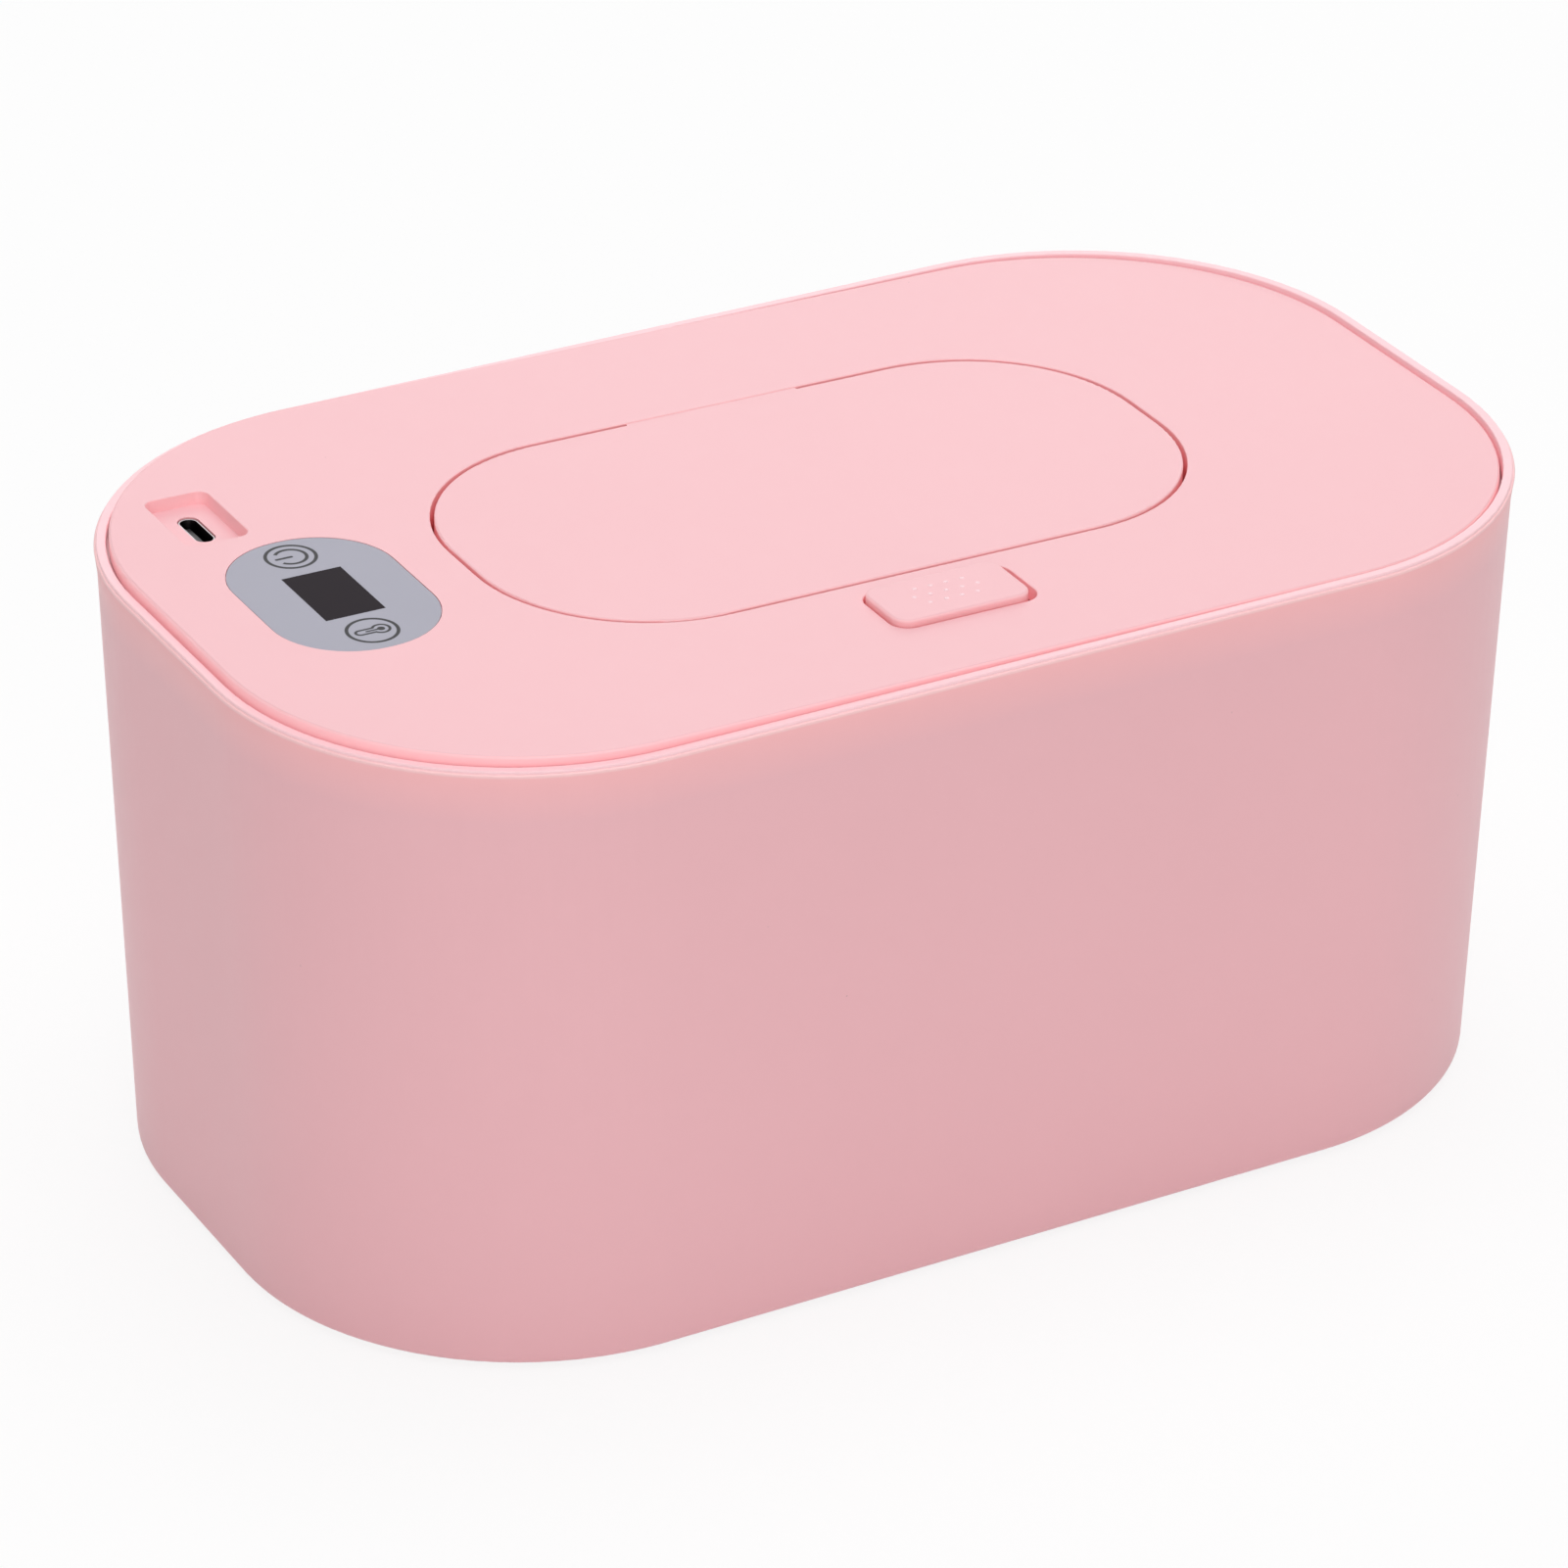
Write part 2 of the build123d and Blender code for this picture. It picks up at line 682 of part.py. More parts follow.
# ------------------------------------------------------------------ heater
with BuildPart() as heater_foam:
    with BuildSketch(below(pad_top)):
        heater_outline(0)
        with Locations((sensor_x, sensor_spread), (sensor_x, -sensor_spread)):
            Rectangle(
                sensor_diameter + 2 * sensor_play, sensor_length + 2 * sensor_play, mode=Mode.SUBTRACT
            )
        with Locations((connector_x, connector_y)):
            Rectangle(heater_film + 2 * tail_gap, tail_width + 2 * tail_gap, mode=Mode.SUBTRACT)
    extrude(amount=-heater_pad)
finish(heater_foam, "heater_foam")

with BuildPart() as heating_film:
    with BuildSketch(below(film_top)):
        heater_outline(0)
    extrude(amount=-heater_film)
    with BuildSketch(below(film_top)):
        with Locations((connector_x, connector_y)):
            Rectangle(heater_film, tail_width)
    extrude(amount=film_top - board_bottom - connector_height)
finish(heating_film, "heating_film")

with BuildPart() as heat_plate:
    with BuildSketch(below(plate_top)):
        heater_outline(0)
    extrude(amount=-heater_plate)
finish(heat_plate, "heat_plate")

with BuildPart() as thermistor:
    with BuildSketch(below(film_top)):
        with Locations((sensor_x, sensor_spread)):
            RectangleRounded(sensor_diameter, sensor_length, sensor_diameter / 3)
    extrude(amount=sensor_diameter)
finish(thermistor, "thermistor")

with BuildPart() as thermal_fuse:
    with BuildSketch(below(film_top)):
        with Locations((sensor_x, -sensor_spread)):
            RectangleRounded(sensor_diameter, sensor_length, sensor_diameter / 3)
    extrude(amount=sensor_diameter)
finish(thermal_fuse, "thermal_fuse")

# ------------------------------------------------------------------ circuit board and its parts
with BuildPart() as control_board:
    with BuildSketch(below(board_depth)):
        with Locations(((board_left + board_right) / 2, 0)):
            Rectangle(board_length, 2 * board_half_width)
        cover_outline(plug_inset + plug_wall + board_margin, mode=Mode.INTERSECT)
        with Locations(*board_screw_places):
            Circle(board_shank / 2 + screw_play, mode=Mode.SUBTRACT)
    extrude(amount=-board_thickness)
finish(control_board, "control_board")

with BuildPart() as board_screws:
    with BuildSketch(below(board_bottom)):
        discs(board_screw_places, board_head)
    extrude(amount=-board_head_height)
    with BuildSketch(below(board_bottom)):
        discs(board_screw_places, board_shank)
    extrude(amount=board_screw_length)
finish(board_screws, "board_screws")

with BuildPart() as inlet_shell:
    with BuildSketch(below(pocket_depth + inlet_set_back)):
        with Locations((inlet_x, inlet_y)):
            SlotOverall(inlet_length, inlet_width, rotation=90)
    extrude(amount=-(board_depth - pocket_depth - inlet_set_back))
    with BuildSketch(below(pocket_depth + inlet_set_back)):
        with Locations((inlet_x, inlet_y)):
            SlotOverall(inlet_length - 2 * inlet_wall, inlet_width - 2 * inlet_wall, rotation=90)
    extrude(amount=-(board_depth - pocket_depth - inlet_set_back), mode=Mode.SUBTRACT)
finish(inlet_shell, "inlet_shell")

with BuildPart() as inlet_tongue:
    with BuildSketch(below(board_depth)):
        with Locations((inlet_x, inlet_y)):
            SlotOverall(inlet_length - 2 * inlet_wall, inlet_width - 2 * inlet_wall, rotation=90)
    extrude(amount=inlet_base)
    with BuildSketch(below(board_depth)):
        with Locations((inlet_x, inlet_y)):
            Rectangle(tongue_thickness, tongue_width)
    extrude(amount=board_depth - pocket_depth - inlet_set_back - tongue_set_back)
finish(inlet_tongue, "inlet_tongue")

with BuildPart() as display_module:
    with BuildSketch(below(board_depth)):
        with Locations((panel_x, panel_y)):
            Rectangle(display_width, display_length)
    extrude(amount=board_depth - window_bottom - display_play)
finish(display_module, "display_module")

with BuildPart() as tact_switches:
    with BuildSketch(below(board_depth)):
        with Locations(*key_places):
            Rectangle(switch_size, switch_size)
    extrude(amount=switch_height)
    with BuildSketch(below(board_depth)):
        discs(key_places, key_stem)
    extrude(amount=switch_height + switch_stem)
finish(tact_switches, "tact_switches")

with BuildPart() as heater_connector:
    with BuildSketch(below(board_bottom)):
        with Locations((connector_x, connector_y)):
            Rectangle(connector_width, connector_length)
    extrude(amount=-connector_height)
finish(heater_connector, "heater_connector")

# ------------------------------------------------------------------ window, overlay and keys
with BuildPart() as display_window:
    with BuildSketch(below(window_bottom)):
        with Locations((panel_x, panel_y)):
            Rectangle(display_width + 2 * window_flange, display_length + 2 * window_flange)
    extrude(amount=window_thickness)
    with BuildSketch(below(overlay_recess)):
        with Locations((panel_x, panel_y)):
            Rectangle(display_width, display_length)
    extrude(amount=overlay_thickness)
finish(display_window, "display_window")

with BuildPart() as control_overlay:
    with BuildSketch(below(overlay_recess)):
        with Locations((panel_x, panel_y)):
            RectangleRounded(overlay_width, overlay_length, overlay_radius)
            Rectangle(display_width, display_length, mode=Mode.SUBTRACT)
    extrude(amount=overlay_thickness)
finish(control_overlay, "control_overlay")

key_bottom = overlay_recess + key_gap + key_thickness
key_stem_bottom = board_depth - switch_height - switch_stem - key_gap
for place, name in zip(key_places, ("temperature_key", "power_key")):
    with BuildPart() as key:
        with BuildSketch(below(key_bottom)):
            discs([place], key_diameter)
        extrude(amount=key_thickness)
        with BuildSketch(below(key_bottom)):
            discs([place], key_stem)
        extrude(amount=-(key_stem_bottom - key_bottom))
    finish(key, name)

# ------------------------------------------------------------------ flip lid
with BuildPart() as flip_lid:
    with BuildSketch(deck):
        lid_outline(-lid_gap)
    extrude(amount=-lid_plate)
    fillet(top_face(flip_lid).edges(), lid_edge_round)
    with BuildSketch(below(lid_plate)):
        lid_outline(-lid_gap)
        lid_outline(-lid_gap - lid_skirt_wall, mode=Mode.SUBTRACT)
    extrude(amount=-(lid_skirt_depth - lid_plate))
    # Rib that locates the gasket
    with BuildSketch(below(lid_plate)):
        oval(gasket_inner_growth)
        oval(gasket_inner_growth - gasket_rib, mode=Mode.SUBTRACT)
    extrude(amount=-gasket_rib_height)
    # Striker with the window that the lever's nose enters
    with BuildSketch(below(lid_plate)):
        with Locations((0, striker_front + lid_skirt_wall / 2)):
            Rectangle(2 * (lever_half_width + ear_gap + striker_side_wall), lid_skirt_wall)
    extrude(amount=-(striker_bottom - lid_plate))
    with BuildSketch(below(striker_top)):
        with Locations((0, lid_front + lid_skirt_wall)):
            Rectangle(2 * (lever_half_width + ear_gap), 4 * lid_skirt_wall)
    extrude(amount=striker_top - striker_window_top, mode=Mode.SUBTRACT)
finish(flip_lid, "flip_lid")

with BuildPart() as lid_gasket:
    with BuildSketch(below(lid_plate)):
        oval(gasket_inner_growth + gasket_width)
        oval(gasket_inner_growth, mode=Mode.SUBTRACT)
    extrude(amount=-gasket_thickness)
finish(lid_gasket, "lid_gasket")

# Hinge web: the thin strip that joins lid and cover along the lid's rear edge
with BuildPart() as lid_hinge_web:
    with BuildSketch(below(web_depth)):
        with Locations((lid_x, lid_y + (lid_opening_width - lid_gap) / 2)):
            Rectangle(web_length, lid_gap)
    extrude(amount=-web_thickness)
finish(lid_hinge_web, "lid_hinge_web")

# ------------------------------------------------------------------ latch button
with BuildPart() as latch_button:
    with BuildSketch(deck.offset(button_proud)):
        with Locations((button_x, button_y)):
            RectangleRounded(button_length, button_depth, button_radius)
    extrude(amount=-(button_proud + flange_bottom))
    fillet(top_face(latch_button).edges(), button_round)
    # Flange that stops under the skin at both ends and at the front
    with BuildSketch(below(flange_bottom)):
        with Locations((button_hole_x, button_y - button_flange)):
            Rectangle(button_length + 2 * (button_flange + button_side_gap), button_depth)
    extrude(amount=button_flange_thickness)
    with BuildSketch(below(flange_bottom)):
        with Locations((button_x, button_y)):
            Rectangle(button_length - 2 * button_wall, button_depth - 2 * button_wall)
    extrude(amount=flange_bottom + button_proud - button_wall, mode=Mode.SUBTRACT)
    # Gap in the rear wall for the lever, and the post that presses the lever's arm
    with BuildSketch(below(flange_bottom)):
        with Locations((0, button_y + (button_depth - button_wall) / 2)):
            Rectangle(2 * rear_notch, 2 * button_wall)
    extrude(amount=flange_bottom - cover_skin, mode=Mode.SUBTRACT)
    with BuildSketch(deck.offset(button_proud - button_wall)):
        with Locations((0, post_y)):
            Rectangle(2 * post_half_width, post_thickness)
    extrude(amount=-(button_proud - button_wall + lever_arm_depth - latch_gap))
finish(latch_button, "latch_button")

# ------------------------------------------------------------------ latch lever, pin and spring
with BuildPart() as latch_lever:
    with BuildSketch(section.offset(-lever_half_width)):
        with BuildLine():
            Polyline(
                (lever_back, -lever_pivot_depth),
                (lever_back, -nose_bottom),
                (nose_tip, -nose_bottom),
                (nose_tip, -nose_bottom + lever_nose_height / 2),
                (lever_back, -nose_top),
                (lever_back - lever_thickness, -nose_top),
                (lever_back - lever_thickness, -lever_arm_depth),
                (lever_pivot_y - lever_arm_length, -lever_arm_depth),
                (lever_pivot_y - lever_arm_length, -lever_arm_depth - lever_thickness),
                (lever_back - lever_thickness, -lever_arm_depth - lever_thickness),
                (lever_back - lever_thickness, -lever_pivot_depth),
                close=True,
            )
        make_face()
        with Locations((lever_pivot_y, -lever_pivot_depth)):
            Circle(lever_hub_radius)
            Circle(pin_diameter / 2 + pin_play, mode=Mode.SUBTRACT)
    extrude(amount=2 * lever_half_width)
finish(latch_lever, "latch_lever")

with BuildPart() as lever_pin:
    with BuildSketch(section.offset(-ear_x - ear_wall / 2)):
        with Locations((lever_pivot_y, -lever_pivot_depth)):
            Circle(pin_diameter / 2)
    extrude(amount=2 * ear_x + ear_wall)
finish(lever_pin, "lever_pin")

with BuildPart() as latch_spring:
    spring_foot = below(plug_depth) * Location((0, spring_y, spring_wire / 2))
    spring_height = plug_depth - lever_arm_depth - lever_thickness - spring_wire - spring_play
    with BuildLine() as coil:
        Helix(
            pitch=spring_height / spring_turns,
            height=spring_height,
            radius=(spring_diameter - spring_wire) / 2,
            center=spring_foot.position,
            direction=deck.z_dir,
        )
    with BuildSketch(coil.line ^ 0):
        Circle(spring_wire / 2)
    sweep()
finish(latch_spring, "latch_spring")
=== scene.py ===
import math

import bmesh
import bpy
import numpy as np
from mathutils import Matrix, Vector


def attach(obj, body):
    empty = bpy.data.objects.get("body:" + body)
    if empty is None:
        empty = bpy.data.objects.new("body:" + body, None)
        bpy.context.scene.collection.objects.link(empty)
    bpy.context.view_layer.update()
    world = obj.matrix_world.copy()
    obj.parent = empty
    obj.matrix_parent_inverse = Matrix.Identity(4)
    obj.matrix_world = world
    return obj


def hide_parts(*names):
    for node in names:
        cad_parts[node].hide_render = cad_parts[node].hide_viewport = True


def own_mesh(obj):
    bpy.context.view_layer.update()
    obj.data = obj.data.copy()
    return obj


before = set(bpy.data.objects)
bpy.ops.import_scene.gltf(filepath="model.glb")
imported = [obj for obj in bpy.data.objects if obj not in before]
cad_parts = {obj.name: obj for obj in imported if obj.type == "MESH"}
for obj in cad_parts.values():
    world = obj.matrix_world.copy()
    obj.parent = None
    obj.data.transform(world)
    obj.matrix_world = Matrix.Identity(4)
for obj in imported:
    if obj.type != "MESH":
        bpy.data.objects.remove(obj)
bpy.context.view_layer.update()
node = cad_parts
MM = 0.001


# ---------------------------------------------------------------- camera
# A long lens a little over a metre away, looking down on the corner between
# the control end and the button side.
azimuth, elevation, roll = np.radians((-29.149, 28.357, 0.476))
distance, to_the_left, upwards = 1075.192, 4.055, 1.118
focal_pixels, frame_pixels, sensor = 7037.4, 1601, 36.0
back = np.array(
    (
        math.sin(azimuth) * math.cos(elevation),
        -math.cos(azimuth) * math.cos(elevation),
        math.sin(elevation),
    )
)
level = np.cross(-back, (0, 0, 1))
level /= np.linalg.norm(level)
upright = np.cross(level, -back)
right = math.cos(roll) * level + math.sin(roll) * upright
up = math.cos(roll) * upright - math.sin(roll) * level
eye = ((0, 0, 50) + distance * back - to_the_left * right + upwards * up) * MM
lens = bpy.data.cameras.new("camera")
lens.sensor_width = sensor
lens.lens = sensor * focal_pixels / frame_pixels
lens.clip_start, lens.clip_end = 0.05, 20.0
camera = bpy.data.objects.new("camera", lens)
camera.matrix_world = Matrix.Translation(eye) @ Matrix(np.stack((right, up, back), 1)).to_4x4()
bpy.context.scene.collection.objects.link(camera)
bpy.context.scene.camera = camera


# ---------------------------------------------------------------- outer shell
# The drafted outer wall and floor of the tub, injection moulded in pink
# polypropylene with a fine satin grain.
class Value:
    """A shader socket that adds, multiplies and compares as a number does, by Math nodes."""

    def __init__(self, socket):
        self.socket = socket

    def math(self, operation, *others, first=()):
        """Add a Math node on the values given as first, then this socket, then the others."""
        terms = {f"i{place}": term for place, term in enumerate((*first, self, *others))}
        return add_node(self.socket.id_data, "ShaderNodeMath", {"operation": operation}, **terms)

    def __add__(self, other):
        return self.math("ADD", other)

    def __sub__(self, other):
        return self.math("SUBTRACT", other)

    def __mul__(self, other):
        return self.math("MULTIPLY", other)

    def __truediv__(self, other):
        return self.math("DIVIDE", other)

    def __gt__(self, other):
        return self.math("GREATER_THAN", other)

    def __lt__(self, other):
        return self.math("LESS_THAN", other)

    def __abs__(self):
        return self.math("ABSOLUTE")

    def __radd__(self, other):
        return self.math("ADD", first=(other,))

    def __rsub__(self, other):
        return self.math("SUBTRACT", first=(other,))

    def __rmul__(self, other):
        return self.math("MULTIPLY", first=(other,))


def plug(slot, value):
    """Link a Value to an input, or write a plain number or colour into it."""
    if isinstance(value, Value):
        slot.id_data.links.new(value.socket, slot)
    else:
        slot.default_value = value


def add_node(tree, kind, settings=(), output=0, **values):
    """Add a node, set it up, fill its inputs (by name, or i0, i1 by place) and give one output."""
    made = tree.nodes.new(kind)
    for key, value in dict(settings).items():
        setattr(made, key, value)
    for key, value in values.items():
        by_place = key[0] == "i" and key[1:].isdigit()
        plug(made.inputs[int(key[1:]) if by_place else key.replace("_", " ")], value)
    return Value(made.outputs[output])


class Finish:
    """A material that is put together node by node round one Principled shader."""

    def __init__(self, name, **surface):
        self.material = bpy.data.materials.new(name)
        self.material.use_nodes = True
        self.tree = self.material.node_tree
        self.shader = self.tree.nodes["Principled BSDF"]
        self.place = self.add("ShaderNodeTexCoord", output="Object")
        for key, value in surface.items():
            self.set(key.replace("_", " "), value)

    def set(self, slot, value):
        """Give the Principled shader's input a value or a link."""
        plug(self.shader.inputs[slot], value)

    def add(self, kind, settings=(), output=0, **values):
        """Add a node to this material, as add_node does."""
        return add_node(self.tree, kind, settings, output, **values)

    def axis(self, vector, number):
        """One axis of a vector socket: 0 for X, 1 for Y, 2 for Z."""
        return self.add("ShaderNodeSeparateXYZ", output=number, i0=vector)

    def steepness(self):
        """How far the surface turns from level: nought where it lies flat, one where upright."""
        facing = self.add("ShaderNodeTexCoord", output="Normal")
        return 1 - abs(self.axis(facing, 2))

    def stretched(self, x, y, z):
        """Object coordinates divided by three lengths in millimetres."""
        return self.add(
            "ShaderNodeMapping", Vector=self.place, Scale=(1 / (x * MM), 1 / (y * MM), 1 / (z * MM))
        )

    def noise(self, size, detail=2.0, roughness=0.5):
        """Smooth noise whose lumps are about that many millimetres across."""
        return self.add(
            "ShaderNodeTexNoise",
            Vector=self.place,
            Scale=1 / (size * MM),
            Detail=detail,
            Roughness=roughness,
        )

    def cells(self, size, feature="F1"):
        """Distance from the nearest of scattered points about that many millimetres apart."""
        return self.add(
            "ShaderNodeTexVoronoi", {"feature": feature}, Vector=self.place, Scale=1 / (size * MM)
        )

    def shades(self, amount, dark, light):
        """A colour between two, by an amount from 0 to 1."""
        kind = {"data_type": "RGBA"}
        return self.add("ShaderNodeMix", kind, output=2, i0=amount, i6=dark, i7=light)

    def bump(self, height, depth):
        """Raise the surface by a height from 0 to 1, times a depth in millimetres."""
        self.set("Normal", self.add("ShaderNodeBump", Height=height, Distance=depth * MM))


def colour(red, green, blue, share=1.0):
    """A screen colour from 0 to 255, made linear by the sRGB curve and taken times a share."""
    part = np.array((red, green, blue)) / 255
    linear = np.where(part > 0.04045, ((part + 0.055) / 1.055) ** 2.4, part / 12.92)
    return (*(linear * share), 1.0)


def within(value, low, high):
    """The value, held between two limits."""
    return value.math("MAXIMUM", low).math("MINIMUM", high)


def moulded(name, red, green, blue, roughness=0.42, grain=0.004, glow=(), lit=None):
    """Satin moulded plastic: faint clouds of colour, spark-eroded grain, and a rare dark speck.

    The glow is painted: each glow is a function that gives the share, from 0 to 1, of a lighter
    colour painted into the base at a point, and that colour, standing in for light that wanders
    inside the plastic and warms its thin edges. Where that light would come out again in a gap, a
    function gives the linear colour of a painted emission.
    """
    finish = Finish(name, Specular_IOR_Level=0.5)
    base = finish.shades(
        finish.noise(38.0, 3.0), colour(red, green, blue, 0.975), colour(red, green, blue)
    )
    # Painted glow: lighter colours mixed into the base where light would warm the plastic.
    for share, glow_colour in glow:
        base = finish.shades(share(finish), base, colour(*glow_colour))
    speck = (finish.cells(7.0) < 0.02) * (finish.noise(11.0) > 0.6)
    finish.set("Base Color", finish.shades(speck * 0.5, base, colour(red, green, blue, 0.6)))
    unevenness = 0.08
    finish.set("Roughness", finish.noise(3.0, 4.0) * unevenness + (roughness - unevenness / 2))
    finish.bump(finish.noise(0.35, 2.0), grain)
    # Painted emission: the part glows though it is no lamp.
    if lit:
        finish.set("Emission Color", lit(finish))
        finish.set("Emission Strength", 1.0)
    return finish.material


def dress(obj, material):
    """Put one material on an object."""
    obj.data.materials.clear()
    obj.data.materials.append(material)


def above(low, high):
    """A share of painted glow that grows from nought at one height in millimetres to one at
    another.
    """
    return lambda finish: within((finish.axis(finish.place, 2) / MM - low) / (high - low), 0, 1)


# Painted glow on the shell: a warmer pink painted into its top 7 mm, and a painted highlight, paler
# still, on the shoulder under the lip.
rim_painted_glow = ((above(93.5, 100.5), (252, 187, 190)), (above(100.9, 101.2), (255, 206, 208)))
pink = 241, 185, 191
pink_shell = moulded("pink_shell", *pink, glow=rim_painted_glow)
shell = bpy.data.meshes.new("shell_wall")
shape = bmesh.new()
shape.from_mesh(node["outer_shell"].data)
bmesh.ops.remove_doubles(shape, verts=shape.verts, dist=1e-6)
everything = shape.verts[:] + shape.edges[:] + shape.faces[:]
bmesh.ops.bisect_plane(shape, geom=everything, plane_co=(0, 0, 98.0 * MM), plane_no=(0, 0, 1))
shape.to_mesh(shell)
shape.free()

# The edge under the lip: how far each point lies inside the rim's outline, which has straight
# sides between its corners, gives its place on the moulded round.  The round is drawn in, and
# the wall's last 3 mm lean out to meet it.
tub_length, tub_width, corner_radius, edge_height = 215.0, 129.2, 48.5, 101.55
moulded_round, drawn_round, lean, lean_from = 0.55, 0.35, 0.3, 98.5
straight_half = np.array((tub_length, tub_width)) / 2 - corner_radius
points = np.empty(len(shell.vertices) * 3)
shell.vertices.foreach_get("co", points)
points = points.reshape(-1, 3) / MM
beyond = np.abs(points[:, :2]) - straight_half
corner = np.maximum(beyond, 0)
reach_out = np.hypot(*corner.T)
side = np.eye(2)[beyond.argmax(1)]
away = np.where(reach_out[:, None] > 0, corner / np.maximum(reach_out, 1e-9)[:, None], side)
away *= np.sign(points[:, :2])
inset = corner_radius - reach_out - np.minimum(beyond.max(1), 0)
outer = (inset < moulded_round + 0.05) & (points[:, 2] > lean_from)
share = np.clip(inset / moulded_round, 0, 1)
wanted = drawn_round * share - lean
rise = edge_height - drawn_round * (1 - np.sqrt(np.clip(1 - (1 - share) ** 2, 0, 1)))
points[:, :2] += np.where(outer, inset - wanted, 0)[:, None] * away
points[:, 2] = np.where(outer, rise, points[:, 2])
shell.vertices.foreach_set("co", (points * MM).ravel())
shell.shade_smooth()
shell.set_sharp_from_angle(angle=math.radians(30))
facing = np.empty(len(shell.polygons) * 3, np.float32)
shell.polygons.foreach_get("normal", facing)
shell.polygons.foreach_set("use_smooth", np.abs(facing[2::3]) < 0.9999)
wall = bpy.data.objects.new("shell_wall", shell)
bpy.context.scene.collection.objects.link(wall)
dress(wall, pink_shell)
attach(wall, "base")
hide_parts("outer_shell")

# ---------------------------------------------------------------- inner liner
# The inner tub, moulded in pink, whose lip laps over the shell and whose ledge carries the cover.
# Its paler pink is a painted highlight that makes the lip brighter than the deck.
def lip_painted_glow(finish):
    """A painted glow: a little emitted light on the steep faces of the thin lip, in the top two
    millimetres.
    """
    steep = within((finish.steepness() - 0.15) * 2.0, 0, 1)
    near_top = above(99.0, 101.0)(finish)
    return finish.shades(steep * near_top, (0, 0, 0, 1), (0.07, 0.065, 0.065, 1))


highlight_pale_pink = moulded("highlight_pale_pink", 251, 205, 211, lit=lip_painted_glow)
dress(node["inner_liner"], highlight_pale_pink)

# ---------------------------------------------------------------- insulation
# A sleeve of closed-cell polyethylene foam between the two walls, cut from
# sheet, with cells a little under a millimetre across.
foam = Finish("white_foam", Roughness=0.9, Specular_IOR_Level=0.2)
cell = foam.cells(0.8)
foam.set("Base Color", foam.shades(cell, colour(226, 226, 222), colour(244, 244, 240)))
foam.bump(cell, 0.15)
dress(node["insulation_sleeve"], foam.material)


# ---------------------------------------------------------------- screws under the tub
# Four self-tapping pan-head screws with a cross recess, zinc plated, driven
# through the shell's floor into the liner's bosses; the feet hide their heads.
def surface(name, points, material, body, slot, *stands_for):
    """A mesh from grids of points (pieces, rows, columns, xyz) whose columns close in rings.

    Neighbouring points in rows and rings are joined by quads, points that fall together at
    a pole are merged, and edges sharper than 35 degrees stay sharp.
    """
    index = np.arange(points[..., 0].size).reshape(points.shape[:3])
    beside = np.roll(index, -1, 2)
    quads = np.stack((index[:, :-1], beside[:, :-1], beside[:, 1:], index[:, 1:]), -1)
    mesh = bpy.data.meshes.new(name)
    mesh.from_pydata(points.reshape(-1, 3).tolist(), [], quads.reshape(-1, 4).tolist())
    shape = bmesh.new()
    shape.from_mesh(mesh)
    bmesh.ops.remove_doubles(shape, verts=shape.verts, dist=1e-7)
    bmesh.ops.dissolve_degenerate(shape, edges=shape.edges, dist=1e-8)
    bmesh.ops.recalc_face_normals(shape, faces=shape.faces)
    shape.to_mesh(mesh)
    shape.free()
    mesh.shade_smooth()
    mesh.set_sharp_from_angle(angle=math.radians(35))
    piece = bpy.data.objects.new(name, mesh)
    bpy.context.scene.collection.objects.link(piece)
    dress(piece, material)
    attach(piece, body)
    if stands_for:
        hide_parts(*stands_for)
    return piece


def screws(places, head, head_height, shank, length, pitch=0.9):
    """Local x, y and outward height of screws with a domed, cross-recessed head.

    The profile runs from the tip up the shank, whose radius drops by a tenth between
    threads, out along the head's underside and over the dome to the axis.  The recess
    lowers the dome wherever a point is within a third of a millimetre of either centre
    line of the cross and inside its arms, with softened edges.
    """
    along = np.linspace(-length, 0, int(length / pitch) * 6 + 1)
    tip = np.clip((along + length) / 1.5, 0, 1)
    thread = shank / 2 * tip * (0.9 + 0.1 * np.abs(np.sin(np.pi * along / pitch)))
    outward = np.linspace(1, 0, 30)
    radius = np.concatenate((thread, [head / 2, head / 2], head / 2 * outward))
    height = np.concatenate(
        (along, [0, 0.35 * head_height], head_height * (0.35 + 0.65 * np.sqrt(1 - outward**2)))
    )
    turn = np.linspace(0, 2 * np.pi, 72, endpoint=False)
    x = radius[:, None] * np.cos(turn)
    y = radius[:, None] * np.sin(turn)
    near = np.minimum(np.abs(x), np.abs(y))
    far = np.maximum(np.abs(x), np.abs(y))
    arm = np.clip((0.36 - near) / 0.08, 0, 1) * np.clip((0.29 * head - far) / 0.15, 0, 1)
    on_dome = np.arange(radius.size) >= radius.size - outward.size
    z = height[:, None] - 0.55 * head_height * arm * on_dome[:, None]
    centre = np.array(places, float)[:, None, None]
    return x + centre[..., 0], y + centre[..., 1], np.broadcast_to(z, (len(places), *z.shape))


zinc = Finish("zinc_steel", Metallic=1.0)
plating = zinc.shades(zinc.noise(2.5, 3.0), colour(168, 170, 172), colour(205, 206, 208))
zinc.set("Base Color", plating)
zinc.set("Roughness", zinc.noise(0.6, 3.0) * 0.2 + 0.24)
zinc.bump(zinc.noise(0.15), 0.01)
foot_places = [(x, y) for x in (-70, 70) for y in (-33, 33)]
floor_recess = 1.8
x, y, outward = screws(foot_places, 5.4, 0.9, 2.8, 5.4)
points = MM * np.stack((x, y, floor_recess - outward), -1)
surface("shell_screws", points, zinc.material, "base", "steel", "base_screws")

# ---------------------------------------------------------------- feet
# Four round feet of dark grey rubber, pressed into recesses over the screws,
# with two grooves moulded in the sole so that they grip the table.
rubber = Finish("grey_rubber", Roughness=0.75, Specular_IOR_Level=0.3)
soot = rubber.shades(rubber.noise(4.0, 3.0), colour(52, 52, 54), colour(68, 68, 70))
rubber.set("Base Color", soot)
rubber.bump(rubber.noise(0.25, 3.0), 0.02)
